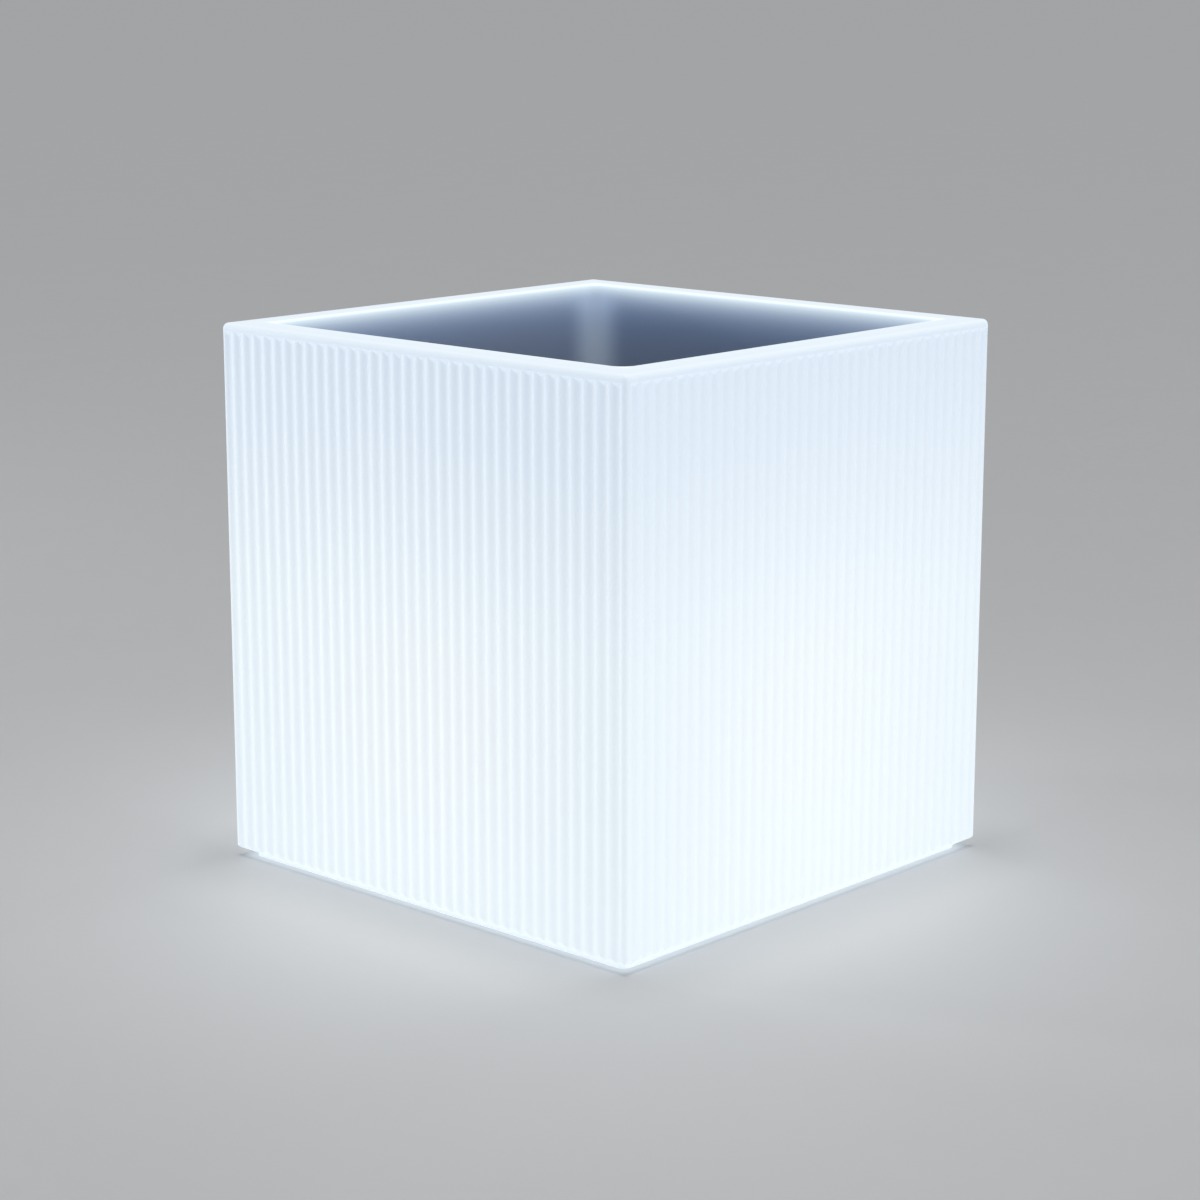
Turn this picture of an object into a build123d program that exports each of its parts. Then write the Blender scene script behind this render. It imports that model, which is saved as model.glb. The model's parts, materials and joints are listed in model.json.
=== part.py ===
from build123d import *
from functools import cache
import math
import os

# A cube planter that glows from inside. It stands on z = 0 with the z axis up its middle.
# Lengths are in millimetres. The drain is towards +x and +y, the back corner.
# Its one hollow moulding is made here as a rim, a pot in three parts, four outer walls and a flange
# with bosses, which all touch. The plinth and its panel are one moulding too. Made in parts, each
# has a simple shape to collide with.

# Body
side = 394.0
height = 400.0
outer_wall = 4.2
pot_wall = 4.0
rim_width = 26.0
rim_thickness = 5.0
rim_outer_radius = 4.2
rim_inner_radius = 2.0
bottom_edge_radius = 7.0

# Ribs
grooves_per_side = 35
groove_depth = 1.2
groove_share = 0.56
band_proud = 0.1
band_under_rim = 0.5
groove_run_out = 4.0
run_out_overlap = 0.4

# Pot
lamp_headroom = 34.0
pot_corner_radius = 10.0
pot_floor_radius = 9.0
sump_margin = 11.0
sump_depth = 9.0
chamber_corner_radius = 2.0
fillet_share = 0.97

# Flange, plinth and base panel
plinth_height = 5.0
plinth_inset = 10.5
plinth_corner_radius = 6.0
flange_thickness = 5.0
flange_width = 36.0
opening_corner_radius = 10.0
base_fit = 1.0
base_step_wall = 3.0
panel_height = 8.0
panel_thickness = 3.0
rib_thickness = 2.5
rib_rise = 6.0

# Base screws and their inserts
base_screw_inset = 24.0
base_screw_radius = 2.45
base_screw_length = 13.4
base_screw_head_radius = 4.75
base_screw_head_depth = 2.7
base_screw_recess = 0.6
base_screw_key_radius = 1.7
base_screw_key_depth = 1.6
insert_radius = 3.5
insert_length = 10.0
boss_wall = 3.0
boss_cap = 5.0

# Base seal
seal_inset_from_screws = 7.0
seal_width = 3.0
seal_depth = 1.5

# Drain
drain_inset = 85.0
drain_bore_radius = 9.0
plug_shoulder = 1.0
drain_tube_wall = 2.5
drain_flange_width = 8.5
drain_flange_thickness = 2.5
drain_gasket_thickness = 1.5
drain_nut_width = 7.5
drain_nut_height = 9.0
grommet_wall = 3.0
grommet_lip = 2.0
plug_length = 14.0
plug_end_gap = 1.0
plug_taper = 1.0
plug_head_overhang = 3.5
plug_head_thickness = 2.0
plug_tab_width = 10.0
plug_tab_thickness = 2.4
plug_tab_top_gap = 0.6

# Lamp housing
cup_corner_gap = 3.5
cup_wall = 2.5
cup_height = 33.0
housing_flange_width = 14.0
housing_flange_thickness = 3.0
gasket_thickness = 1.0
gasket_inset = 0.5
module_screw_inset = 6.0
module_screw_count = 6
module_screw_start_angle = 30.0
module_screw_radius = 1.45
module_screw_head_radius = 3.2
module_screw_head_height = 1.8
module_boss_radius = 4.5
module_boss_height = 7.0
post_inset = 8.5
post_radius = 4.0
post_count = 4

# Light engine
dome_seal_thickness = 1.0
dome_rim_thickness = 2.0
dome_rim_width = 4.0
dome_wall = 2.0
dome_rise = 21.0
spigot_wall = 2.0
spigot_depth = 4.0
spreader_margin = 1.2
spreader_thickness = 2.0
led_board_thickness = 1.6
spreader_drop = 4.0
led_side = 5.0
led_height = 1.6
inner_led_ring_radius = 20.0
inner_led_count = 8
outer_led_inset = 20.0
outer_led_count = 16
board_screw_radius = 1.4
board_screw_head_radius = 2.8
board_screw_head_height = 1.6
board_screw_grip = 9.0
screw_tip_gap = 1.0
screw_key_share = 0.6
screw_key_depth_share = 0.5

# Battery
cell_radius = 9.2
cell_length = 65.0
cell_count = 3
cell_gap = 0.2
battery_centre_y = -15.0
tray_floor = 1.5
tray_wall = 1.3
tray_wall_height = 13.0
contact_thickness = 0.5
contact_height = 14.0
foam_margin = 3.0

# Control board and what is on it
control_width = 54.0
control_depth = 28.0
control_thickness = 1.6
board_to_tray_gap = 2.7
standoff_height = 12.0
standoff_radius = 2.5
standoff_inset = 3.2
control_screw_radius = 1.1
control_screw_head_radius = 2.0
control_screw_head_height = 1.2
control_screw_grip = 6.0
driver_chip_side = 9.0
driver_chip_height = 1.4
charger_chip_side = 6.0
charger_chip_height = 1.2
coil_side = 8.0
coil_height = 4.0
capacitor_radius = 3.2
capacitor_height = 7.0
status_lamp_side = 2.0
status_lamp_gap = 0.2
jack_x = -12.0
switch_x = 12.0
lens_x = 0.0

# Charging socket and its cover
jack_body_radius = 4.6
jack_nose_radius = 4.0
jack_bore_radius = 2.75
jack_bore_depth = 9.5
jack_pin_radius = 1.0
jack_pin_setback = 0.8
jack_pin_tip_radius = 0.4
well_radius = 6.0
well_depth = 1.2
cap_thickness = 1.5
cap_width = 13.0
cap_reach = 11.0
cap_tip = 8.0
cap_corner_radius = 3.25
cap_boss_clearance = 0.3
knuckle_radius = 1.15
cap_pin_radius = 0.6
ear_thickness = 2.0
ear_gap = 0.3

# Button and switch
button_radius = 6.0
button_proud = 0.8
button_collar_radius = 7.2
button_collar_thickness = 1.0
button_stem_radius = 1.5
button_travel = 1.2
button_seal_radius = 0.42
switch_side = 6.2
switch_height = 3.8
plunger_radius = 1.6
plunger_engagement = 0.5
plunger_end_gap = 0.3

# Status light
lens_radius = 1.5
lens_collar_radius = 2.6
lens_collar_thickness = 1.0
lens_end_gap = 0.9

# Wires
wire_radius = 0.7
wire_spacing = 2.0
wire_bend_radius = 3.0
wire_slot_x = 16.0
wire_slot_inset = 2.0
wire_slot_length = 7.0
wire_slot_width = 4.0
wire_rise = 2.8
wire_lead_in = 3.0
connector_length = 6.0
connector_width = 5.0
connector_height = 4.4
battery_wire_reach = 6.0
battery_wire_height = 2.4

# Clearances
sliding_clearance = 0.10
running_clearance = 0.05
hole_clearance = 0.3
loose_clearance = 1.5

# Sizes and heights worked out from those above
half = side / 2
chamber_bottom = plinth_height + flange_thickness
chamber_top = height - rim_thickness
band_bottom = chamber_top - band_under_rim
pot_half = half - rim_width
floor_fillet = min(pot_floor_radius, fillet_share * pot_corner_radius)
flange_opening_half = half - flange_width
step_half = flange_opening_half - base_fit
panel_half = step_half - base_step_wall
panel_top = panel_height + panel_thickness
housing_flange_top = panel_height - gasket_thickness
housing_underside = housing_flange_top - housing_flange_thickness
cell_pitch = 2 * cell_radius + cell_gap
tray_length = cell_length + 2 * (contact_thickness + tray_wall)
tray_depth = cell_count * cell_pitch + cell_gap + 2 * tray_wall
tray_corner_reach = math.hypot(tray_length / 2, tray_depth / 2 - battery_centre_y)
cup_inner_radius = tray_corner_reach + cup_corner_gap
cup_radius = cup_inner_radius + cup_wall
cup_top = housing_flange_top + cup_height
housing_flange_radius = cup_radius + housing_flange_width
module_screw_circle = housing_flange_radius - module_screw_inset
post_circle = cup_inner_radius - post_inset
spigot_outer_radius = cup_inner_radius - hole_clearance
spigot_inner_radius = spigot_outer_radius - spigot_wall
spreader_radius = spigot_inner_radius - spreader_margin
outer_led_ring_radius = spreader_radius - outer_led_inset
spreader_bottom = cup_top - spreader_drop
spreader_top = spreader_bottom + spreader_thickness
led_board_top = spreader_top + led_board_thickness
dome_base = cup_top + dome_seal_thickness
dome_shoulder = dome_base + dome_rim_thickness
dome_top = dome_base + dome_rise
pot_underside = dome_top + lamp_headroom
pot_floor_top = pot_underside + pot_wall
sump_floor = pot_floor_top - sump_depth
sump_underside = sump_floor - pot_wall
drain_offset = half - drain_inset
plug_seat_radius = drain_bore_radius + plug_shoulder
drain_tube_radius = plug_seat_radius + drain_tube_wall
drain_flange_radius = drain_tube_radius + drain_flange_width
drain_nut_radius = drain_tube_radius + drain_nut_width
sump_radius = drain_flange_radius + sump_margin
grommet_radius = drain_tube_radius + grommet_wall
drain_foot = panel_height - grommet_lip
drain_flange_bottom = sump_floor + drain_gasket_thickness
drain_flange_top = drain_flange_bottom + drain_flange_thickness
plug_seat_floor = drain_flange_top - plug_length - plug_end_gap
cell_bottom = housing_flange_top + tray_floor
cell_top = cell_bottom + 2 * cell_radius
cell_centre_z = cell_bottom + cell_radius
control_bottom = housing_flange_top + standoff_height
control_top = control_bottom + control_thickness
control_near_y = battery_centre_y + tray_depth / 2 + board_to_tray_gap
control_centre_y = control_near_y + control_depth / 2
underside_row_y = control_centre_y
wire_slot_y = control_near_y + control_depth - wire_slot_inset

# The rib wave: a hollow arc and a round crest take turns and meet smoothly
pitch = side / (grooves_per_side + 0.5)
wave_angle = 2 * math.atan(groove_depth / (pitch / 2))
radius_sum = pitch / 2 / math.sin(wave_angle)
hollow_radius = groove_share * radius_sum
crest_radius = radius_sum - hollow_radius
crest_half = half - band_proud
junction_x = hollow_radius * math.sin(wave_angle)
junction_y = -crest_half + crest_radius * (1 - math.cos(wave_angle))
first_groove_x = -(grooves_per_side - 1) / 2 * pitch


def slab(face, low, high):
    """A flat outline raised from one height to another."""
    return extrude(Pos(0, 0, low) * face, amount=high - low)


def square(half_side, radius):
    return RectangleRounded(2 * half_side, 2 * half_side, radius)


def disc(radius, low, high, x=0.0, y=0.0):
    rising = (Align.CENTER, Align.CENTER, Align.MIN)
    return Pos(x, y, low) * Cylinder(radius, high - low, align=rising)


def ring(outer, inner, low, high, x=0.0, y=0.0):
    return disc(outer, low, high, x, y) - disc(inner, low, high, x, y)


def block(width, depth, low, high, x=0.0, y=0.0):
    rising = (Align.CENTER, Align.CENTER, Align.MIN)
    return Pos(x, y, low) * Box(width, depth, high - low, align=rising)


def circle_points(radius, count, start=0.0):
    """Points spaced evenly round a circle, with the start angle in degrees."""
    angles = [math.radians(start + 360 / count * index) for index in range(count)]
    return [(radius * math.cos(angle), radius * math.sin(angle)) for angle in angles]


def group(pieces):
    return Compound(children=list(pieces))


def corner_arc():
    """The arc that carries the wave round a corner, and how far it reaches along the diagonal."""
    start_x = first_groove_x + (grooves_per_side - 1) * pitch + junction_x
    chord = math.sqrt(2) * (-start_x - junction_y)
    reach = abs(chord) / (2 * math.sin(math.radians(45) + wave_angle))
    centre_x = start_x + reach * math.sin(wave_angle)
    middle = centre_x + reach / math.sqrt(2)
    return start_x, middle


def ribbed_side():
    """One side of the ribbed outline and the corner arc at its end."""
    edges = []
    for index in range(grooves_per_side):
        centre = first_groove_x + index * pitch
        enters = (centre - junction_x, junction_y)
        leaves = (centre + junction_x, junction_y)
        edges.append(ThreePointArc(enters, (centre, -crest_half + groove_depth), leaves))
        if index < grooves_per_side - 1:
            crest = (centre + pitch / 2, -crest_half)
            next_enters = (centre + pitch - junction_x, junction_y)
            edges.append(ThreePointArc(leaves, crest, next_enters))
    corner_start, corner_middle = corner_arc()
    turned = (-junction_y, -corner_start)
    edges.append(ThreePointArc((corner_start, junction_y), (corner_middle, -corner_middle), turned))
    return edges


def ribbed_outline():
    one_side = ribbed_side()
    edges = [Rot(0, 0, 90 * turn) * edge for turn in range(4) for edge in one_side]
    return Face(Wire(edges))


def across_both_ways(profile):
    """A side profile run through from front to back and from left to right, and what they share."""
    run = extrude(Plane.XZ * profile, amount=side, both=True)
    return run & (Rot(0, 0, 90) * run)


def band_corner_radius():
    """The plain band's corners stand just proud of the ribs' corner arc."""
    _, middle = corner_arc()
    return (half - middle - band_proud / 2) * math.sqrt(2) / (math.sqrt(2) - 1)


def flat_rim():
    """The flat rim, rounded at its outer edge and, less so, at its inner lip."""
    rim = slab(square(half, band_corner_radius()), chamber_top, height)
    outer_lip = rim.edges().filter_by_position(Axis.Z, height, height)
    widest = fillet_share * min(band_corner_radius(), rim_thickness)
    rim = fillet(outer_lip, min(rim_outer_radius, widest))
    rim = rim - slab(square(pot_half, pot_corner_radius), chamber_top, height)
    middle = half - rim_width / 2
    lip = rim.edges().filter_by_position(Axis.Z, height, height)
    inner_lip = [edge for edge in lip if abs(edge.center().X) < middle and abs(edge.center().Y) < middle]
    return fillet(inner_lip, rim_inner_radius)


def plain_band():
    """The plain band under the rim. Its underside slopes in, so that the grooves run out in it."""
    low = band_bottom - groove_run_out
    ramp = groove_depth + band_proud + run_out_overlap
    profile = Polyline(
        (-half, chamber_top),
        (-half, band_bottom),
        (-half + ramp, low),
        (half - ramp, low),
        (half, band_bottom),
        (half, chamber_top),
        close=True,
    )
    band = slab(square(half, band_corner_radius()), low, chamber_top)
    return band & across_both_ways(make_face(profile))


@cache
def outer_form():
    """The outside of the flange and the walls, up to the rim, with no hollow in it."""
    ribbed = slab(ribbed_outline(), plinth_height, (band_bottom + chamber_top) / 2)
    envelope = Pos(0, plinth_height) * Rectangle(side, height, align=(Align.CENTER, Align.MIN))
    low_corners = envelope.vertices().sort_by(Axis.Y)[:2]
    envelope = fillet(low_corners, bottom_edge_radius)
    return (ribbed & across_both_ways(envelope)) + plain_band()


@cache
def ribbed_wall():
    """One wall, at the front. Its ends are cut off at 45 degrees, where the next walls meet it."""
    quarter = make_face(Polyline((0, 0), (-side, -side), (side, -side), close=True))
    chamber = square(half - outer_wall, chamber_corner_radius)
    return outer_form() & slab(quarter - chamber, chamber_bottom, chamber_top)


def front_wall():
    return ribbed_wall()


def right_wall():
    return Rot(0, 0, 90) * ribbed_wall()


def back_wall():
    return Rot(0, 0, 180) * ribbed_wall()


def left_wall():
    return Rot(0, 0, 270) * ribbed_wall()


def pot_floor_outline():
    """The flat part of the floor, inside the fillet round its edge."""
    return square(pot_half - floor_fillet, pot_corner_radius - floor_fillet)


def pot_walls():
    """The pot's four walls in one sleeve, with the fillet at their foot. They hang from the rim."""
    outside = slab(square(pot_half + pot_wall, pot_corner_radius + pot_wall), pot_underside, chamber_top)
    hollow = slab(square(pot_half, pot_corner_radius), pot_floor_top, chamber_top)
    floor_edges = hollow.edges().filter_by_position(Axis.Z, pot_floor_top, pot_floor_top)
    hollow = fillet(floor_edges, floor_fillet)
    return outside - hollow - slab(pot_floor_outline(), pot_underside, pot_floor_top)


def pot_floor():
    """The flat floor of the pot, with a round hole for the sump."""
    plate = slab(pot_floor_outline(), pot_underside, pot_floor_top)
    return plate - disc(sump_radius + pot_wall, pot_underside, pot_floor_top, drain_offset, drain_offset)


def drain_sump():
    """The round sump let into the floor, with the hole that the drain's tube passes."""
    x = y = drain_offset
    sump = disc(sump_radius + pot_wall, sump_underside, pot_floor_top, x, y)
    sump = sump - disc(sump_radius, sump_floor, pot_floor_top, x, y)
    return sump - disc(drain_tube_radius + hole_clearance, sump_underside, sump_floor, x, y)


def base_screw_points():
    reach = half - base_screw_inset
    steps = (-reach, 0, reach)
    return [(x, y) for x in steps for y in steps if (x, y) != (0, 0)]


def bottom_flange():
    """The square ring under the outer walls, with the holes for the brass inserts."""
    frame = Rectangle(side, side) - square(flange_opening_half, opening_corner_radius)
    flange = outer_form() & slab(frame, plinth_height, chamber_bottom)
    hole = insert_radius + running_clearance
    return flange - [disc(hole, plinth_height, chamber_bottom, x, y) for x, y in base_screw_points()]


def screw_boss(x, y):
    """A blind boss on the flange, round the upper end of a brass insert."""
    insert_top = plinth_height + insert_length
    boss = disc(insert_radius + boss_wall, chamber_bottom, insert_top + boss_cap, x, y)
    return boss - disc(insert_radius + running_clearance, chamber_bottom, insert_top + boss_cap / 2, x, y)


def screw_bosses():
    return group(screw_boss(x, y) for x, y in base_screw_points())


def base_seal(clearance=0.0):
    """The square cord that lies in the plinth's groove."""
    middle = half - base_screw_inset - seal_inset_from_screws
    outer = square(middle + seal_width / 2 + clearance, opening_corner_radius)
    inner = square(middle - seal_width / 2 - clearance, opening_corner_radius)
    return slab(outer - inner, plinth_height - seal_depth, plinth_height)


def countersink(x, y, clearance=0.0):
    """The cone of a base screw's head."""
    low = base_screw_recess
    high = low + base_screw_head_depth
    rising = (Align.CENTER, Align.CENTER, Align.MIN)
    cone = Cone(base_screw_head_radius + clearance, base_screw_radius + clearance, high - low, align=rising)
    return Pos(x, y, low) * cone


def module_screw_points():
    return circle_points(module_screw_circle, module_screw_count, module_screw_start_angle)


def panel_outline():
    return square(panel_half, opening_corner_radius - base_step_wall)


def plinth_ring():
    """The plinth that the planter stands on. Its step centres it in the flange's opening."""
    plinth = slab(square(half - plinth_inset, plinth_corner_radius), 0, plinth_height)
    plinth = plinth + slab(square(step_half, opening_corner_radius), 0, panel_top)
    plinth = plinth - slab(panel_outline(), 0, panel_top)
    points = base_screw_points()
    head = base_screw_head_radius + sliding_clearance
    plinth = plinth - [countersink(x, y, sliding_clearance) for x, y in points]
    plinth = plinth - [disc(head, 0, base_screw_recess, x, y) for x, y in points]
    plinth = plinth - [disc(base_screw_radius + hole_clearance, 0, plinth_height, x, y) for x, y in points]
    return plinth - base_seal(clearance=sliding_clearance)


def base_ribs():
    """Stiffening ribs on the panel, from near the lamp's hole out to the panel's edge."""
    start = housing_flange_radius + module_boss_radius
    middle = (start + panel_half) / 2
    ribs = []
    for turn in range(4):
        rib = block(panel_half - start, rib_thickness, panel_top, panel_top + rib_rise, middle, 0)
        ribs.append(Rot(0, 0, 90 * turn) * rib)
    return ribs


def base_panel():
    """The panel across the plinth, with the holes for the lamp and the drain."""
    boss_top = panel_top + module_boss_height
    points = module_screw_points()
    panel = slab(panel_outline(), panel_height, panel_top)
    panel = panel + base_ribs() + [disc(module_boss_radius, panel_top, boss_top, x, y) for x, y in points]
    pilot = module_screw_radius + running_clearance
    panel = panel - [disc(pilot, panel_height, boss_top, x, y) for x, y in points]
    panel = panel - disc(cup_radius + loose_clearance, panel_height, panel_top + rib_rise)
    return panel - disc(grommet_radius, panel_height, panel_top, drain_offset, drain_offset)


def base_screw(x, y):
    head_top = base_screw_recess + base_screw_head_depth
    shank = disc(base_screw_radius, head_top, base_screw_recess + base_screw_length, x, y)
    key = extrude(RegularPolygon(base_screw_key_radius, 6), amount=base_screw_key_depth)
    return countersink(x, y) + shank - Pos(x, y, base_screw_recess) * key


def base_screws():
    return group(base_screw(x, y) for x, y in base_screw_points())


def base_inserts():
    top = plinth_height + insert_length
    bore = base_screw_radius + running_clearance
    return group(ring(insert_radius, bore, plinth_height, top, x, y) for x, y in base_screw_points())


def drain_fitting():
    """The waste tube. Its flange lies in the sump, and a shoulder leaves the bore under the plug free."""
    x = y = drain_offset
    fitting = disc(drain_flange_radius, drain_flange_bottom, drain_flange_top, x, y)
    fitting = fitting + disc(drain_tube_radius, drain_foot, drain_flange_bottom, x, y)
    fitting = fitting - disc(drain_bore_radius, drain_foot, drain_flange_top, x, y)
    return fitting - disc(plug_seat_radius, plug_seat_floor, drain_flange_top, x, y)


def drain_gasket():
    x = y = drain_offset
    bore = drain_tube_radius + sliding_clearance
    return ring(drain_flange_radius, bore, sump_floor, drain_flange_bottom, x, y)


def drain_nut():
    x = y = drain_offset
    low = sump_underside - drain_nut_height
    bore = disc(drain_tube_radius + sliding_clearance, low, sump_underside, x, y)
    hexagon = Pos(x, y, low) * extrude(RegularPolygon(drain_nut_radius, 6), amount=drain_nut_height)
    return hexagon - bore


def drain_grommet():
    """A rubber ring that seals the tube where it passes the base panel."""
    x = y = drain_offset
    lip_radius = grommet_radius + grommet_lip
    grommet = disc(grommet_radius, panel_height, panel_top, x, y)
    grommet = grommet + disc(lip_radius, panel_top, panel_top + grommet_lip, x, y)
    grommet = grommet + disc(lip_radius, drain_foot, panel_height, x, y)
    return grommet - disc(drain_tube_radius, drain_foot, panel_top + grommet_lip, x, y)


def drain_plug():
    """A stopper that pulls up out of its seat in the drain by its tab."""
    x = y = drain_offset
    head_top = drain_flange_top + plug_head_thickness
    stem = plug_seat_radius - sliding_clearance
    hanging = (Align.CENTER, Align.CENTER, Align.MAX)
    plug = Pos(x, y, drain_flange_top) * Cone(stem - plug_taper, stem, plug_length, align=hanging)
    plug = plug + disc(plug_seat_radius + plug_head_overhang, drain_flange_top, head_top, x, y)
    tab_top = pot_floor_top - plug_tab_top_gap
    return plug + block(plug_tab_width, plug_tab_thickness, head_top, tab_top, x, y)


def socket_place():
    return jack_x, underside_row_y


def switch_place():
    return switch_x, underside_row_y


def hinge_axis():
    """The height and y of the cover's pin."""
    return underside_row_y + cap_reach, housing_underside - cap_thickness


def cap_ears():
    """Two ears under the housing that hold the pin of the socket's cover."""
    y, z = hinge_axis()
    offset = cap_width / 2 + ear_gap + ear_thickness / 2
    ears = []
    for sign in (-1, 1):
        x = jack_x + sign * offset
        ear = block(ear_thickness, 2 * knuckle_radius, z, housing_underside, x, y)
        tip = Pos(x, y, z) * Rot(0, 90, 0) * Cylinder(knuckle_radius, ear_thickness)
        ears.append(ear + tip)
    return ears


def pin_along_x(radius, length):
    y, z = hinge_axis()
    return Pos(jack_x, y, z) * Rot(0, 90, 0) * Cylinder(radius, length)


def hinge_length():
    return cap_width + 2 * ear_gap + 2 * ear_thickness


def module_housing():
    """The lamp's cup, open at the top, with the flange that screws under the base panel."""
    cup = disc(cup_radius, housing_underside, cup_top)
    cup = cup + disc(housing_flange_radius, housing_underside, housing_flange_top)
    cup = cup - disc(cup_inner_radius, housing_flange_top, cup_top)
    for x, y in circle_points(post_circle, post_count):
        cup = cup + disc(post_radius, housing_flange_top, spreader_bottom, x, y)
        pilot_low = spreader_bottom - board_screw_grip
        cup = cup - disc(board_screw_radius + running_clearance, pilot_low, spreader_bottom, x, y)
    for x, y in standoff_points():
        cup = cup + disc(standoff_radius, housing_flange_top, control_bottom, x, y)
        pilot_low = control_bottom - control_screw_grip
        cup = cup - disc(control_screw_radius + running_clearance, pilot_low, control_bottom, x, y)
    for x, y in module_screw_points():
        hole = module_screw_radius + hole_clearance
        cup = cup - disc(hole, housing_underside, housing_flange_top, x, y)
    for ear in cap_ears():
        cup = cup + ear
    cup = cup - pin_along_x(cap_pin_radius + running_clearance, hinge_length())
    x, y = socket_place()
    cup = cup - disc(well_radius, housing_underside, housing_underside + well_depth, x, y)
    cup = cup - disc(jack_nose_radius + sliding_clearance, housing_underside, housing_flange_top, x, y)
    x, y = switch_place()
    cup = cup - disc(button_radius + sliding_clearance, housing_underside, housing_flange_top, x, y)
    lens_hole = lens_radius + running_clearance
    return cup - disc(lens_hole, housing_underside, housing_flange_top, lens_x, underside_row_y)


def module_gasket():
    outer = housing_flange_radius - gasket_inset
    gasket = ring(outer, cup_radius + loose_clearance, housing_flange_top, panel_height)
    for x, y in module_screw_points():
        hole = module_screw_radius + hole_clearance
        gasket = gasket - disc(hole, housing_flange_top, panel_height, x, y)
    return gasket


def screw_key(head_radius, head_height):
    """The six-sided recess for the driver in a small screw's head."""
    outline = RegularPolygon(screw_key_share * head_radius, 6)
    return extrude(outline, amount=screw_key_depth_share * head_height)


def module_screw(x, y):
    head_bottom = housing_underside - module_screw_head_height
    shank_top = panel_top + module_boss_height - screw_tip_gap
    screw = disc(module_screw_head_radius, head_bottom, housing_underside, x, y)
    screw = screw + disc(module_screw_radius, housing_underside, shank_top, x, y)
    return screw - Pos(x, y, head_bottom) * screw_key(module_screw_head_radius, module_screw_head_height)


def module_screws():
    return group(module_screw(x, y) for x, y in module_screw_points())


def dome_seal():
    return ring(cup_radius, cup_inner_radius, cup_top, dome_base)


def diffuser_dome():
    """A shallow frosted dome on a flat rim, with a spigot that plugs into the cup."""
    base_radius = cup_radius - dome_rim_width
    rise = dome_rise - dome_rim_thickness
    sphere_radius = (base_radius**2 + rise**2) / (2 * rise)
    centre_z = dome_shoulder + rise - sphere_radius
    cut = block(4 * sphere_radius, 4 * sphere_radius, centre_z - 2 * sphere_radius, dome_shoulder)
    outer = Pos(0, 0, centre_z) * Sphere(sphere_radius) - cut
    inner_cut = block(4 * sphere_radius, 4 * sphere_radius, centre_z - 2 * sphere_radius, dome_base)
    inner = Pos(0, 0, centre_z) * Sphere(sphere_radius - dome_wall) - inner_cut
    dome = disc(cup_radius, dome_base, dome_shoulder) + outer
    dome = dome + disc(spigot_outer_radius, dome_base - spigot_depth, dome_base)
    dome = dome - inner - disc(spigot_inner_radius, dome_base - spigot_depth, dome_base)
    return dome - disc(base_radius - dome_wall, dome_base, dome_shoulder)


def wire_slot(low, high):
    slot = SlotOverall(wire_slot_length, wire_slot_width, rotation=90)
    return Pos(wire_slot_x, wire_slot_y, low) * extrude(slot, amount=high - low)


def board_disc(low, high):
    """A disc with the four screw holes and the slot for the wires."""
    board = disc(spreader_radius, low, high)
    for x, y in circle_points(post_circle, post_count):
        board = board - disc(board_screw_radius + running_clearance, low, high, x, y)
    return board - wire_slot(low, high)


def heat_spreader():
    return board_disc(spreader_bottom, spreader_top)


def led_board():
    return board_disc(spreader_top, led_board_top)


def led_ring(radius, count):
    chip = block(led_side, led_side, led_board_top, led_board_top + led_height, radius, 0)
    return [Rot(0, 0, 360 / count * (index + 0.5)) * chip for index in range(count)]


def led_chips():
    inner = led_ring(inner_led_ring_radius, inner_led_count)
    return group(inner + led_ring(outer_led_ring_radius, outer_led_count))


def lead_connector():
    """The small block on the lamp's board that the two wires plug into."""
    x = wire_slot_x - wire_bend_radius - wire_lead_in - connector_length / 2
    top = led_board_top + connector_height
    return block(connector_length, connector_width, led_board_top, top, x, wire_slot_y)


def screw(radius, head_radius, head_height, low, seat, x, y):
    """A small pan-head screw that points down, with its head on the seat."""
    shank = disc(radius, low, seat, x, y)
    head = disc(head_radius, seat, seat + head_height, x, y)
    key_bottom = seat + (1 - screw_key_depth_share) * head_height
    return shank + head - Pos(x, y, key_bottom) * screw_key(head_radius, head_height)


def board_screws():
    low = spreader_bottom - board_screw_grip + screw_tip_gap
    sizes = (board_screw_radius, board_screw_head_radius, board_screw_head_height)
    return group(screw(*sizes, low, led_board_top, x, y) for x, y in circle_points(post_circle, post_count))


def standoff_points():
    x = control_width / 2 - standoff_inset
    y = control_depth / 2 - standoff_inset
    return [(sx * x, control_centre_y + sy * y) for sx in (-1, 1) for sy in (-1, 1)]


def control_screws():
    low = control_bottom - control_screw_grip + screw_tip_gap
    sizes = (control_screw_radius, control_screw_head_radius, control_screw_head_height)
    return group(screw(*sizes, low, control_top, x, y) for x, y in standoff_points())


def control_board():
    board = block(control_width, control_depth, control_bottom, control_top, 0, control_centre_y)
    for x, y in standoff_points():
        board = board - disc(control_screw_radius + running_clearance, control_bottom, control_top, x, y)
    return board


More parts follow.
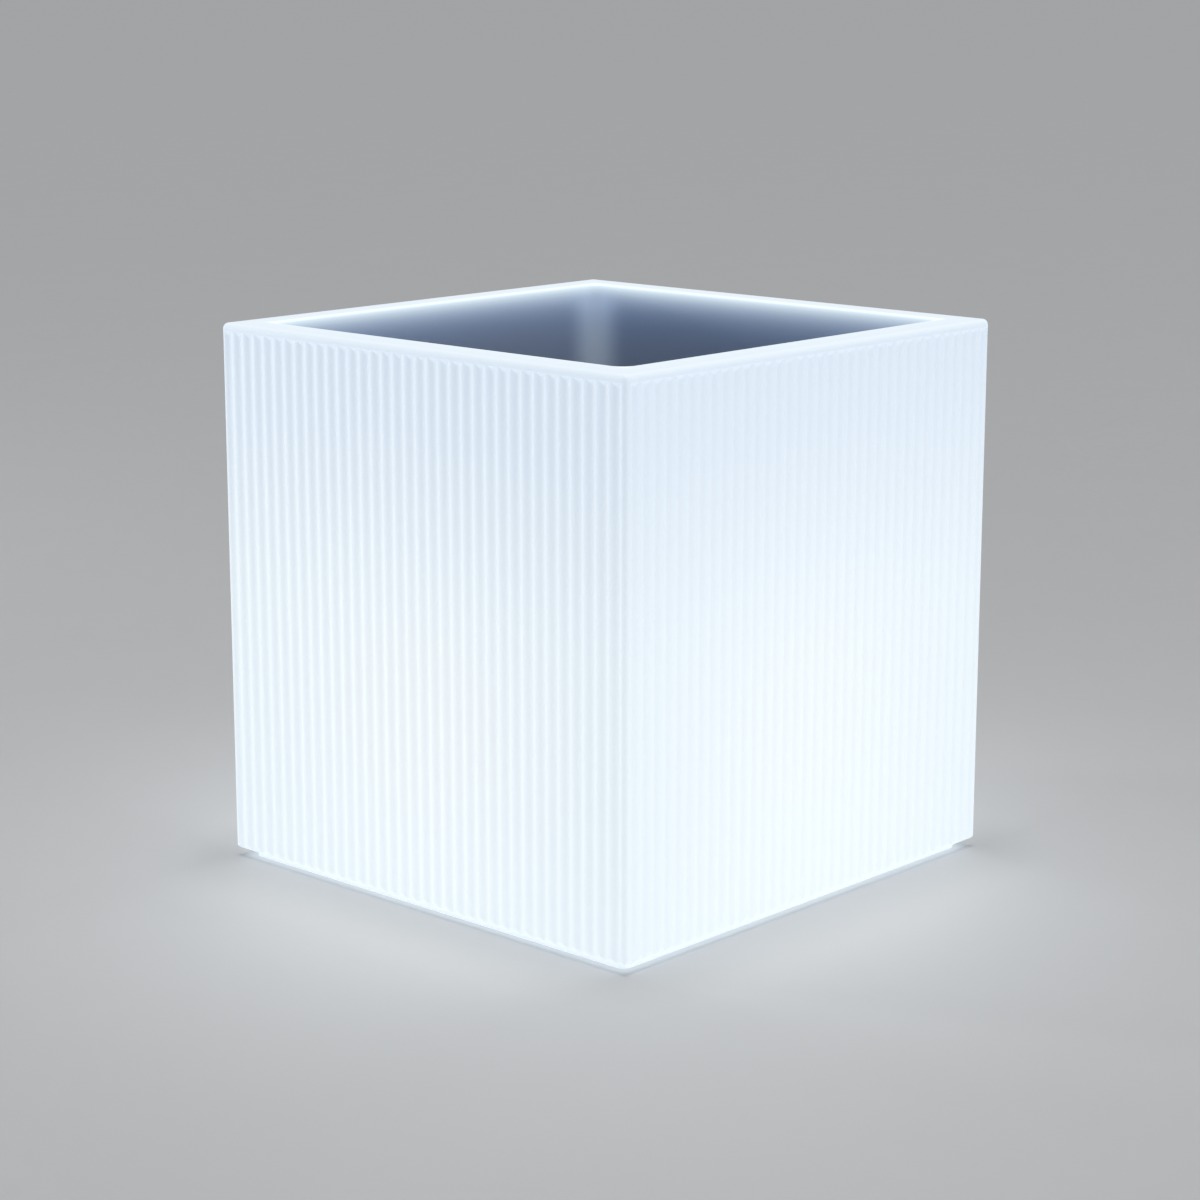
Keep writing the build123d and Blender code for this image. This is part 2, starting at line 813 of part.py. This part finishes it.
def board_parts():
    """The chips, the coil, the capacitors and the two battery plugs on the control board."""
    top = control_top
    y = control_centre_y
    coil_x = coil_side
    driver_x = -driver_chip_side
    front_row_y = y - control_depth / 2 + capacitor_radius + loose_clearance
    parts = [
        block(driver_chip_side, driver_chip_side, top, top + driver_chip_height, driver_x, y),
        block(charger_chip_side, charger_chip_side, top, top + charger_chip_height, coil_x, front_row_y),
        block(coil_side, coil_side, top, top + coil_height, coil_x, y + coil_side / 2),
    ]
    for x in (driver_x - capacitor_radius, driver_x + capacitor_radius + loose_clearance):
        parts.append(disc(capacitor_radius, top, top + capacitor_height, x, front_row_y))
    plug_x = control_width / 2 - connector_length / 2
    for sign in (-1, 1):
        plug = block(connector_length, connector_width, top, top + connector_height, sign * plug_x, y)
        parts.append(plug)
    lamp_low = control_bottom - lens_end_gap + status_lamp_gap
    parts.append(block(status_lamp_side, status_lamp_side, lamp_low, control_bottom, lens_x, underside_row_y))
    return group(parts)


def battery_holder():
    """The open tray that the cells lie in."""
    y = battery_centre_y
    inner_length = tray_length - 2 * tray_wall
    inner_depth = tray_depth - 2 * tray_wall
    tray = block(tray_length, tray_depth, housing_flange_top, housing_flange_top + tray_wall_height, 0, y)
    return tray - block(inner_length, inner_depth, cell_bottom, cell_top, 0, y)


def cell_rows():
    first = battery_centre_y - (cell_count - 1) / 2 * cell_pitch
    return [first + index * cell_pitch for index in range(cell_count)]


def battery_cells():
    cells = []
    for y in cell_rows():
        cell = Pos(0, y, cell_centre_z) * Rot(0, 90, 0) * Cylinder(cell_radius, cell_length)
        cells.append(cell)
    return group(cells)


def battery_contacts():
    """A nickel strip across the cells at each end."""
    width = (cell_count - 1) * cell_pitch + cell_radius
    low = cell_centre_z - contact_height / 2
    x = cell_length / 2 + contact_thickness / 2
    strips = []
    for sign in (-1, 1):
        strips.append(block(contact_thickness, width, low, low + contact_height, sign * x, battery_centre_y))
    return group(strips)


def battery_foam():
    """The pad that holds the cells down under the heat spreader."""
    length = tray_length - 2 * foam_margin
    depth = tray_depth - 2 * foam_margin
    return block(length, depth, cell_top, spreader_bottom, 0, battery_centre_y)


def round_wire(points):
    path = FilletPolyline(*points, radius=wire_bend_radius)
    section = Plane(origin=path @ 0, z_dir=path % 0) * Circle(wire_radius)
    return sweep(section, path=path)


def led_wires():
    """Two wires from the control board up through the slot to the lamp's board."""
    end_x = wire_slot_x - wire_bend_radius - wire_lead_in
    top = led_board_top + wire_rise
    wires = []
    for sign in (-1, 1):
        y = wire_slot_y + sign * wire_spacing / 2
        wires.append(round_wire([(wire_slot_x, y, control_top), (wire_slot_x, y, top), (end_x, y, top)]))
    return group(wires)


def battery_wires():
    """One wire from the nickel strip at each end of the cells to the control board."""
    start_x = cell_length / 2 + contact_thickness
    out_x = tray_length / 2 + battery_wire_reach
    end_x = control_width / 2
    z = control_top + battery_wire_height
    start_y = cell_rows()[-1]
    wires = []
    for sign in (-1, 1):
        points = [
            (sign * start_x, start_y, z),
            (sign * out_x, start_y, z),
            (sign * out_x, control_centre_y, z),
            (sign * end_x, control_centre_y, z),
        ]
        wires.append(round_wire(points))
    return group(wires)


def jack_mouth():
    return housing_underside + well_depth


def charge_socket():
    x, y = socket_place()
    body = disc(jack_body_radius, housing_flange_top, control_bottom, x, y)
    body = body + disc(jack_nose_radius, jack_mouth(), housing_flange_top, x, y)
    return body - disc(jack_bore_radius, jack_mouth(), jack_mouth() + jack_bore_depth, x, y)


def socket_pin():
    x, y = socket_place()
    low = jack_mouth() + jack_pin_setback
    high = jack_mouth() + jack_bore_depth
    pin = disc(jack_pin_radius, low, high, x, y)
    tip = pin.edges().filter_by_position(Axis.Z, low, low)
    return fillet(tip, jack_pin_tip_radius)


def switch_bottom():
    return control_bottom - switch_height


def plunger_socket_top():
    return switch_bottom() + plunger_engagement + button_travel + plunger_end_gap


def tact_switch():
    x, y = switch_place()
    body = block(switch_side, switch_side, switch_bottom(), control_bottom, x, y)
    return body - disc(plunger_radius + running_clearance, switch_bottom(), plunger_socket_top(), x, y)


def collar_top():
    return housing_flange_top + button_collar_thickness


def stem_top():
    """The button's stem reaches half way from its collar to the switch."""
    return (collar_top() + switch_bottom()) / 2


def switch_plunger():
    x, y = switch_place()
    return disc(plunger_radius, stem_top(), switch_bottom() + plunger_engagement, x, y)


def button_seal_height():
    return housing_underside + housing_flange_thickness / 2


def power_button():
    x, y = switch_place()
    low = housing_underside - button_proud
    button = disc(button_radius, low, housing_flange_top, x, y)
    face = button.edges().filter_by_position(Axis.Z, low, low)
    button = fillet(face, button_proud / 2)
    button = button + disc(button_collar_radius, housing_flange_top, collar_top(), x, y)
    button = button + disc(button_stem_radius, collar_top(), stem_top(), x, y)
    groove_half = button_seal_radius + running_clearance
    groove_floor = button_radius - 2 * button_seal_radius - running_clearance
    middle = button_seal_height()
    return button - ring(button_radius, groove_floor, middle - groove_half, middle + groove_half, x, y)


def button_seal():
    x, y = switch_place()
    centre_radius = button_radius - button_seal_radius
    return Pos(x, y, button_seal_height()) * Torus(centre_radius, button_seal_radius)


def status_lens():
    lens = disc(lens_radius, housing_underside, control_bottom - lens_end_gap, lens_x, underside_row_y)
    collar_high = housing_flange_top + lens_collar_thickness
    return lens + disc(lens_collar_radius, housing_flange_top, collar_high, lens_x, underside_row_y)


def port_cap():
    """A flap with a low boss that fits the socket's well, and a knuckle round the pin."""
    y_pin, z_pin = hinge_axis()
    y_tip = underside_row_y - cap_tip
    low = housing_underside - cap_thickness
    knuckle = Pos(jack_x, y_pin, z_pin) * Rot(0, 90, 0) * Cylinder(knuckle_radius, cap_width)
    flap = block(cap_width, y_pin - y_tip, low, housing_underside, jack_x, (y_pin + y_tip) / 2)
    tip_edges = flap.edges().filter_by(Axis.Z).sort_by(Axis.Y)[:2]
    flap = fillet(tip_edges, cap_corner_radius)
    boss_top = housing_underside + well_depth - sliding_clearance
    flap = flap + disc(well_radius - cap_boss_clearance, housing_underside, boss_top, jack_x, underside_row_y)
    return flap + knuckle - pin_along_x(cap_pin_radius + running_clearance, cap_width)


def cap_hinge_pin():
    return pin_along_x(cap_pin_radius, hinge_length())


parts = {
    "flat_rim": flat_rim,
    "pot_walls": pot_walls,
    "pot_floor": pot_floor,
    "drain_sump": drain_sump,
    "front_wall": front_wall,
    "right_wall": right_wall,
    "back_wall": back_wall,
    "left_wall": left_wall,
    "bottom_flange": bottom_flange,
    "screw_bosses": screw_bosses,
    "plinth_ring": plinth_ring,
    "base_panel": base_panel,
    "base_screws": base_screws,
    "base_inserts": base_inserts,
    "base_seal": base_seal,
    "drain_fitting": drain_fitting,
    "drain_gasket": drain_gasket,
    "drain_nut": drain_nut,
    "drain_grommet": drain_grommet,
    "drain_plug": drain_plug,
    "module_housing": module_housing,
    "module_gasket": module_gasket,
    "module_screws": module_screws,
    "dome_seal": dome_seal,
    "diffuser_dome": diffuser_dome,
    "heat_spreader": heat_spreader,
    "led_board": led_board,
    "led_chips": led_chips,
    "lead_connector": lead_connector,
    "board_screws": board_screws,
    "led_wires": led_wires,
    "control_board": control_board,
    "control_screws": control_screws,
    "board_parts": board_parts,
    "battery_holder": battery_holder,
    "battery_cells": battery_cells,
    "battery_contacts": battery_contacts,
    "battery_foam": battery_foam,
    "battery_wires": battery_wires,
    "charge_socket": charge_socket,
    "socket_pin": socket_pin,
    "tact_switch": tact_switch,
    "switch_plunger": switch_plunger,
    "power_button": power_button,
    "button_seal": button_seal,
    "status_lens": status_lens,
    "port_cap": port_cap,
    "cap_hinge_pin": cap_hinge_pin,
}

os.makedirs("parts", exist_ok=True)
for name, make in parts.items():
    export_step(make(), f"parts/{name}.step")
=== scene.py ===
import json
import math

import bpy
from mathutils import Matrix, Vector


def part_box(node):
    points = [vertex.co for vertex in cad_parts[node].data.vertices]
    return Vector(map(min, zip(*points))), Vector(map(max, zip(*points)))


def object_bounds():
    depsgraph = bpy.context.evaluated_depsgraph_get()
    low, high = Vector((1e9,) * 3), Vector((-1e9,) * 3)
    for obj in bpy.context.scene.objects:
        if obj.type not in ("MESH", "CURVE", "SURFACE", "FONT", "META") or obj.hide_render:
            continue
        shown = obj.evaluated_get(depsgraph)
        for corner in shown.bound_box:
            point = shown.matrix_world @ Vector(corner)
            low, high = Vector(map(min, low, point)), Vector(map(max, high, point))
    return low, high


# A lit cube planter. Lengths are in metres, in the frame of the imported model.
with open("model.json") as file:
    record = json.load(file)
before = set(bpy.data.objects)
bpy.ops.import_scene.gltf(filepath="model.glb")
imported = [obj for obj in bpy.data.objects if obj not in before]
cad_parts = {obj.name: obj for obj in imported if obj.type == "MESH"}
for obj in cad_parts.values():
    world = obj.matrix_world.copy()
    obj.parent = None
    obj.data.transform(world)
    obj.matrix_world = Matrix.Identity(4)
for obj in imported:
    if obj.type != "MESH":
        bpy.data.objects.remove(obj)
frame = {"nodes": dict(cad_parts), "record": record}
cad_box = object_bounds()
cad_low, cad_high = cad_box
side = cad_high[0] - cad_low[0]
height = cad_high[2]
half = side / 2
pot_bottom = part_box("drain_sump")[0][2]

# Body sizes that the glow follows
rim_width = 0.026
rim_edge = 0.004
groove_depth = 0.0012
plinth_height = 0.005
inner_half = half - rim_width

# Camera, fitted to the edges of the object in the photograph
image_width = 1200
focal_pixels = 2899.6
sensor_width = 36.0
camera_yaw = math.radians(42.70)
camera_pitch = math.radians(12.55)
camera_distance = 5.432 * side
camera_right = -0.0137 * side
camera_up = -0.0097 * side

# Lights: where each one stands, its width and height, and its power
raking_place = (-1.25, 2.35, 0.50)
raking_size = (0.30, 0.80)
raking_power = 11.0
broad_place = (0.3, -2.8, 0.9)
broad_size = (1.4, 1.4)
broad_power = 9.0
overhead_place = (0.0, 0.0, 4.0)
overhead_power = 1.2
overhead_angle = math.radians(20)
studio_tone = (0.84, 0.87, 0.92, 1.0)
studio_strength = 0.14

# Glow of the outer walls, as linear light, with painted shade that dims the grooves and the rim's outer edge
glow_low = (0.505, 0.575, 0.62, 1.0)
glow_high = (0.415, 0.495, 0.58, 1.0)
glow_full_height = 0.18
spot_glow = (0.065, 0.045, 0.025, 1.0)
spot_height = 0.13
spot_reach = 0.15
# Painted shade: how much of the glow is left in the bottoms of the grooves
groove_shade = 0.93
rim_glow_inner = (0.48, 0.54, 0.58, 1.0)
# Painted shade: the rim's glow is dimmer toward its outer fillet
rim_glow_outer_shaded = (0.45, 0.52, 0.57, 1.0)
plinth_glow = (0.41, 0.44, 0.48, 1.0)
plinth_blend = 0.001

# Glow of the inner walls, with painted shade that deepens down the pot: a white part, partly a painted
# highlight on the lip, that fades fast below the rim, and a blue haze that fades slowly
lip_glow_and_highlight = (0.757, 0.789, 0.585, 1.0)
lip_shade_falloff = 0.0075
haze_glow = (0.022, 0.107, 0.34, 1.0)
haze_shade_falloff = 0.018
# Painted light: a paler streak down the inner corners, where the walls light each other
corner_bounce_light = (0.12, 0.14, 0.155, 1.0)
corner_bounce_width = 0.035
corner_bounce_depth = 0.02
corner_bounce_end = 0.20
# Painted shade: the darker base colour of the plastic inside the pot
inside_shade_tone = (0.50, 0.56, 0.66, 1.0)

# How far behind the inner wall's face the look of the pot begins to give way, and where it has gone
inside_full = 0.001
inside_gone = 0.004
frosted_specular = 0.35

# The lamp's dome and its lit chips
dome_bright_reach = 0.04
dome_dim_reach = 0.08
dome_glow_middle = (0.92, 0.96, 1.0, 1.0)
dome_glow_edge = (0.70, 0.78, 0.88, 1.0)
led_grain = 3000.0
led_glow_low = (0.88, 0.94, 1.0, 1.0)
led_glow_high = (1.0, 1.0, 1.0, 1.0)
led_strength = 1.5

# Copper under the green solder mask
track_scale = 160.0
track_width = 0.04
mask_light = (0.08, 0.31, 0.15)
mask_dark = (0.07, 0.28, 0.13)
track_tone = (0.13, 0.42, 0.21)

# Grain of every finish: its noises, and the part of the noise that roughness follows
tone_scale = 1 / 8
tone_detail = 4.0
grain_detail = 3.0
grain_low = 0.3
grain_high = 0.7
unstretched = (1.0, 1.0, 1.0)

# Places of the colour sockets on a mix node
mix_first = 6
mix_second = 7
mix_result = 2

# Floor
floor_half = 60.0


def look_at(thing, target):
    direction = Vector(target) - thing.location
    thing.rotation_euler = direction.to_track_quat("-Z", "Y").to_euler()


def add_camera():
    forward = Vector((
        math.cos(camera_pitch) * math.cos(camera_yaw),
        math.cos(camera_pitch) * math.sin(camera_yaw),
        -math.sin(camera_pitch),
    ))
    right = Vector((math.sin(camera_yaw), -math.cos(camera_yaw), 0.0))
    up = right.cross(forward)
    middle = Vector((0.0, 0.0, half))
    data = bpy.data.cameras.new("camera")
    data.sensor_width = sensor_width
    data.lens = focal_pixels / image_width * sensor_width
    camera = bpy.data.objects.new("camera", data)
    camera.location = middle - forward * camera_distance + right * camera_right + up * camera_up
    camera.rotation_euler = forward.to_track_quat("-Z", "Y").to_euler()
    bpy.context.scene.collection.objects.link(camera)
    bpy.context.scene.camera = camera


def add_light(name, kind, location, power):
    """A light that points at the middle of the planter."""
    data = bpy.data.lights.new(name, kind)
    data.energy = power
    light = bpy.data.objects.new(name, data)
    light.location = location
    look_at(light, (0.0, 0.0, half))
    bpy.context.scene.collection.objects.link(light)
    return data


def add_panel(name, location, size, power):
    panel = add_light(name, "AREA", location, power)
    panel.shape = "RECTANGLE"
    panel.size, panel.size_y = size


def add_studio_air():
    """The soft light that comes from all around."""
    world = bpy.data.worlds.new("studio")
    world.use_nodes = True
    background = world.node_tree.nodes["Background"]
    background.inputs["Color"].default_value = studio_tone
    background.inputs["Strength"].default_value = studio_strength
    bpy.context.scene.world = world


def add_lights():
    """A narrow upright light rakes the -x face's ribs, a broad one faces the -y face, one is overhead."""
    add_panel("raking_light", raking_place, raking_size, raking_power)
    add_panel("broad_light", broad_place, broad_size, broad_power)
    overhead = add_light("overhead_light", "SUN", overhead_place, overhead_power)
    overhead.angle = overhead_angle
    add_studio_air()


class Shader:
    """A material's nodes, with short ways to add and join them."""

    def __init__(self, name):
        self.material = bpy.data.materials.new(name)
        self.material.use_nodes = True
        self.tree = self.material.node_tree
        self.principled = self.tree.nodes["Principled BSDF"]
        self.colour = None

    def node(self, kind, **settings):
        node = self.tree.nodes.new(kind)
        for key, value in settings.items():
            setattr(node, key, value)
        return node

    def put(self, value, socket):
        """Joins an output to a socket, or sets the socket to a plain value."""
        if isinstance(value, bpy.types.NodeSocket):
            self.tree.links.new(value, socket)
        else:
            socket.default_value = value

    def set(self, name, value):
        self.put(value, self.principled.inputs[name])

    def math(self, operation, first, second=0.0):
        node = self.node("ShaderNodeMath", operation=operation)
        self.put(first, node.inputs[0])
        self.put(second, node.inputs[1])
        return node.outputs[0]

    def fade(self, distance, falloff):
        """Full at no distance, and less and less beyond."""
        return self.math("EXPONENT", self.math("DIVIDE", distance, -falloff))

    def ramp(self, value, low, high, at_low=0.0, at_high=1.0):
        """A smooth step from one value to another between two places."""
        node = self.node("ShaderNodeMapRange", interpolation_type="SMOOTHSTEP")
        self.put(value, node.inputs["Value"])
        node.inputs["From Min"].default_value = low
        node.inputs["From Max"].default_value = high
        node.inputs["To Min"].default_value = at_low
        node.inputs["To Max"].default_value = at_high
        return node.outputs["Result"]

    def mix(self, factor, first, second, blend="MIX"):
        node = self.node("ShaderNodeMix", data_type="RGBA", blend_type=blend)
        self.put(factor, node.inputs["Factor"])
        self.put(first, node.inputs[mix_first])
        self.put(second, node.inputs[mix_second])
        return node.outputs[mix_result]

    def scaled(self, colour, amount):
        return self.mix(1.0, colour, amount, "MULTIPLY")

    def added(self, first, second):
        return self.mix(1.0, first, second, "ADD")

    def position(self):
        return self.node("ShaderNodeTexCoord").outputs["Object"]

    def noise(self, scale, detail=grain_detail, stretch=unstretched):
        mapping = self.node("ShaderNodeMapping")
        mapping.inputs["Scale"].default_value = stretch
        self.put(self.position(), mapping.inputs["Vector"])
        node = self.node("ShaderNodeTexNoise")
        node.inputs["Scale"].default_value = scale
        node.inputs["Detail"].default_value = detail
        self.put(mapping.outputs["Vector"], node.inputs["Vector"])
        return node.outputs["Fac"]

    def bump(self, height_value, depth):
        node = self.node("ShaderNodeBump")
        node.inputs["Distance"].default_value = depth
        node.inputs["Strength"].default_value = 1.0
        self.put(height_value, node.inputs["Height"])
        self.set("Normal", node.outputs["Normal"])


def surface(name, light, dark, rough, grain, bump_depth, metallic=0.0, stretch=unstretched):
    """A moulded, turned or brushed finish: two tones, a roughness range and a fine grain."""
    shader = Shader(name)
    tone = shader.noise(grain * tone_scale, tone_detail, stretch)
    fine = shader.noise(grain, grain_detail, stretch)
    shader.colour = shader.mix(tone, (*dark, 1.0), (*light, 1.0))
    shader.set("Base Color", shader.colour)
    shader.set("Roughness", shader.ramp(fine, grain_low, grain_high, *rough))
    shader.set("Metallic", metallic)
    shader.bump(fine, bump_depth)
    return shader


def body_places(shader):
    """Where a point of the body lies: its level, its depth below the top,
    and the greater and the lesser of its distances from the middle along x and y."""
    split = shader.node("ShaderNodeSeparateXYZ")
    shader.put(shader.position(), split.inputs[0])
    level = split.outputs["Z"]
    across = shader.math("ABSOLUTE", split.outputs["X"])
    along = shader.math("ABSOLUTE", split.outputs["Y"])
    return {
        "level": level,
        "depth": shader.math("SUBTRACT", height, level),
        "reach": shader.math("MAXIMUM", across, along),
        "aside": shader.math("MINIMUM", across, along),
    }


def spot(shader, place):
    """The brighter round spot low on the middle of each wall."""
    beside = shader.math("DIVIDE", place["aside"], spot_reach)
    above = shader.math("DIVIDE", shader.math("SUBTRACT", place["level"], spot_height), spot_reach)
    away = shader.math("ADD", shader.math("MULTIPLY", beside, beside), shader.math("MULTIPLY", above, above))
    return shader.scaled(spot_glow, shader.fade(away, 1.0))


def outer_glow(shader, place):
    """Outer walls, plinth and rim: brightest low on the walls, with painted shade that dims the grooves and
    the rim's outer edge.
    """
    rise = shader.ramp(place["level"], glow_full_height, height)
    glow = shader.added(shader.mix(rise, glow_low, glow_high), spot(shader, place))
    # Painted shade: the glow dims from the crests down into the grooves
    groove_shade_factor = shader.ramp(place["reach"], half - groove_depth, half, groove_shade, 1.0)
    glow = shader.scaled(glow, groove_shade_factor)
    low = shader.ramp(place["level"], plinth_height - plinth_blend, plinth_height, 1.0, 0.0)
    glow = shader.mix(low, glow, plinth_glow)
    # The rim's glow, dimmed toward its outer edge as painted shade
    top = shader.ramp(place["depth"], 0.0, rim_edge, 1.0, 0.0)
    outward = shader.ramp(place["reach"], inner_half, half)
    return shader.mix(top, glow, shader.mix(outward, rim_glow_inner, rim_glow_outer_shaded))


def corner_bounce_share(shader, place):
    """How much painted bounce light a point of the pot takes in its upper corners, from 0 to 1."""
    near = shader.ramp(place["aside"], inner_half - corner_bounce_width, inner_half)
    below_rim = shader.ramp(place["depth"], rim_edge, corner_bounce_depth)
    above_end = shader.ramp(place["depth"], corner_bounce_depth, corner_bounce_end, 1.0, 0.0)
    return shader.math("MULTIPLY", shader.math("MULTIPLY", near, below_rim), above_end)


def inner_glow_and_shade(shader, place):
    """Inner walls: glow with painted shade that deepens down the pot, a white lip that is partly a painted
    highlight, the blue haze below it, and corners paled by painted bounce light.
    """
    # Painted shade: the glow fades with depth below the top
    glow = shader.scaled(lip_glow_and_highlight, shader.fade(place["depth"], lip_shade_falloff))
    glow = shader.added(glow, shader.scaled(haze_glow, shader.fade(place["depth"], haze_shade_falloff)))
    # Painted bounce light in the upper inner corners
    return shader.added(glow, shader.scaled(corner_bounce_light, corner_bounce_share(shader, place)))


def inside_share(shader, place):
    """1 in the pot and 0 outside it and under it."""
    within = shader.ramp(place["reach"], inner_half + inside_full, inner_half + inside_gone, 1.0, 0.0)
    return shader.math("MULTIPLY", within, shader.ramp(place["level"], pot_bottom / 2, pot_bottom))


def glow_plastic():
    """Frosted plastic lit from inside, which takes a darker base colour down the pot as painted shade."""
    shader = surface(
        "glow_plastic", light=(0.80, 0.83, 0.86), dark=(0.76, 0.79, 0.83),
        rough=(0.42, 0.52), grain=900.0, bump_depth=0.00004,
    )
    place = body_places(shader)
    inside = inside_share(shader, place)
    glow = shader.mix(inside, outer_glow(shader, place), inner_glow_and_shade(shader, place))
    # Painted shade: a darker base colour inside the pot
    shader.set("Base Color", shader.mix(inside, shader.colour, inside_shade_tone))
    shader.set("Emission Color", glow)
    shader.set("Emission Strength", 1.0)
    shader.set("Specular IOR Level", frosted_specular)
    return shader.material


def dome_plastic():
    """The lamp's frosted dome, brightest over its middle."""
    shader = surface(
        "dome_plastic", light=(0.86, 0.88, 0.90), dark=(0.82, 0.85, 0.88),
        rough=(0.45, 0.55), grain=700.0, bump_depth=0.00003,
    )
    distance = shader.node("ShaderNodeVectorMath", operation="LENGTH")
    shader.put(shader.position(), distance.inputs[0])
    middle = shader.ramp(distance.outputs["Value"], dome_bright_reach, dome_dim_reach, 1.0, 0.0)
    shader.set("Emission Color", shader.mix(middle, dome_glow_edge, dome_glow_middle))
    shader.set("Emission Strength", 1.0)
    return shader.material


def led_lit():
    """Lit lamps under a fine-grained phosphor."""
    shader = surface(
        "led_lit", light=(0.95, 0.92, 0.62), dark=(0.90, 0.86, 0.50),
        rough=(0.30, 0.40), grain=4000.0, bump_depth=0.00002,
    )
    shader.set("Emission Color", shader.mix(shader.noise(led_grain), led_glow_low, led_glow_high))
    shader.set("Emission Strength", led_strength)
    return shader.material


def screw_steel():
    """Stainless steel, lightly turned."""
    return surface(
        "screw_steel", light=(0.66, 0.67, 0.68), dark=(0.54, 0.55, 0.56),
        rough=(0.24, 0.38), grain=2500.0, bump_depth=0.00001, metallic=1.0,
    ).material


def insert_brass():
    """Turned brass."""
    return surface(
        "insert_brass", light=(0.80, 0.64, 0.33), dark=(0.68, 0.52, 0.25),
        rough=(0.28, 0.42), grain=2000.0, bump_depth=0.00001, metallic=1.0,
    ).material


def nickel():
    """Rolled nickel strip, with its grain drawn out along y."""
    return surface(
        "nickel", light=(0.76, 0.74, 0.70), dark=(0.66, 0.64, 0.60),
        rough=(0.26, 0.40), grain=2500.0, bump_depth=0.00001, metallic=1.0, stretch=(1.0, 0.1, 1.0),
    ).material


def spreader_aluminium():
    """Milled aluminium, with its marks drawn out along x."""
    return surface(
        "spreader_aluminium", light=(0.82, 0.83, 0.84), dark=(0.72, 0.73, 0.74),
        rough=(0.32, 0.48), grain=1800.0, bump_depth=0.00002, metallic=1.0, stretch=(0.08, 1.0, 1.0),
    ).material


def seal_rubber():
    return surface(
        "seal_rubber", light=(0.27, 0.28, 0.29), dark=(0.21, 0.22, 0.23),
        rough=(0.68, 0.85), grain=2200.0, bump_depth=0.00004,
    ).material


def plug_rubber():
    return surface(
        "plug_rubber", light=(0.58, 0.60, 0.63), dark=(0.50, 0.52, 0.55),
        rough=(0.60, 0.78), grain=1800.0, bump_depth=0.00004,
    ).material


def button_rubber():
    return surface(
        "button_rubber", light=(0.43, 0.45, 0.48), dark=(0.36, 0.38, 0.41),
        rough=(0.62, 0.80), grain=2400.0, bump_depth=0.00003,
    ).material


def foam_black():
    """Closed-cell foam, with its cells as a coarse bump."""
    return surface(
        "foam_black", light=(0.14, 0.14, 0.14), dark=(0.08, 0.08, 0.08),
        rough=(0.85, 0.98), grain=1200.0, bump_depth=0.0002,
    ).material


def grey_plastic():
    return surface(
        "grey_plastic", light=(0.53, 0.54, 0.56), dark=(0.47, 0.48, 0.50),
        rough=(0.42, 0.58), grain=1500.0, bump_depth=0.00003,
    ).material


def white_plastic():
    return surface(
        "white_plastic", light=(0.86, 0.87, 0.88), dark=(0.81, 0.82, 0.84),
        rough=(0.38, 0.52), grain=1500.0, bump_depth=0.00003,
    ).material


def chip_black():
    return surface(
        "chip_black", light=(0.06, 0.06, 0.065), dark=(0.04, 0.04, 0.045),
        rough=(0.45, 0.62), grain=3500.0, bump_depth=0.00002,
    ).material


def cell_wrap():
    """Shrink wrap, glossy, with faint puckers."""
    return surface(
        "cell_wrap", light=(0.14, 0.33, 0.58), dark=(0.10, 0.26, 0.50),
        rough=(0.16, 0.28), grain=400.0, bump_depth=0.00005,
    ).material


def wire_red():
    return surface(
        "wire_red", light=(0.64, 0.07, 0.06), dark=(0.54, 0.05, 0.04),
        rough=(0.32, 0.45), grain=2500.0, bump_depth=0.00002,
    ).material


def board_white():
    """White solder mask with a faint grain."""
    return surface(
        "board_white", light=(0.92, 0.92, 0.90), dark=(0.86, 0.86, 0.84),
        rough=(0.18, 0.30), grain=1200.0, bump_depth=0.00002,
    ).material


def board_green():
    """Green solder mask with lighter bands where copper runs under it."""
    shader = surface(
        "board_green", light=mask_light, dark=mask_dark,
        rough=(0.16, 0.28), grain=1500.0, bump_depth=0.00002,
    )
    tracks = shader.node("ShaderNodeTexBrick")
    tracks.inputs["Scale"].default_value = track_scale
    tracks.inputs["Mortar Size"].default_value = track_width
    tracks.inputs["Color1"].default_value = (*mask_dark, 1.0)
    tracks.inputs["Color2"].default_value = (*mask_light, 1.0)
    tracks.inputs["Mortar"].default_value = (*track_tone, 1.0)
    shader.put(shader.position(), tracks.inputs["Vector"])
    shader.set("Base Color", tracks.outputs["Color"])
    return shader.material


def lens_clear():
    """A clear moulded light pipe."""
    shader = surface(
        "lens_clear", light=(0.84, 0.92, 0.88), dark=(0.80, 0.88, 0.84),
        rough=(0.04, 0.10), grain=900.0, bump_depth=0.00001,
    )
    shader.set("Transmission Weight", 0.9)
    shader.set("IOR", 1.49)
    return shader.material


def floor_material():
    return surface(
        "floor", light=(0.80, 0.80, 0.80), dark=(0.78, 0.78, 0.78),
        rough=(0.60, 0.70), grain=60.0, bump_depth=0.00005,
    ).material


def add_floor():
    signs = ((-1, -1), (1, -1), (1, 1), (-1, 1))
    corners = [(x * floor_half, y * floor_half, 0.0) for x, y in signs]
    mesh = bpy.data.meshes.new("floor")
    mesh.from_pydata(corners, [], [(0, 1, 2, 3)])
    mesh.materials.append(floor_material())
    floor = bpy.data.objects.new("floor", mesh)
    bpy.context.scene.collection.objects.link(floor)


makers = (
    glow_plastic, dome_plastic, led_lit, screw_steel, insert_brass, nickel, spreader_aluminium,
    seal_rubber, plug_rubber, button_rubber, foam_black, grey_plastic, white_plastic, chip_black,
    cell_wrap, wire_red, board_white, board_green, lens_clear,
)


def dress_nodes():
    """Each CAD node takes the finish of its material slot."""
    materials = {make.__name__: make() for make in makers}
    for entry in frame["record"]["subparts"]:
        mesh = frame["nodes"][entry["node"]].data
        mesh.materials.clear()
        mesh.materials.append(materials[entry["material_slot"]])


bpy.context.scene.view_settings.view_transform = "Standard"
add_camera()
add_floor()
add_lights()
dress_nodes()
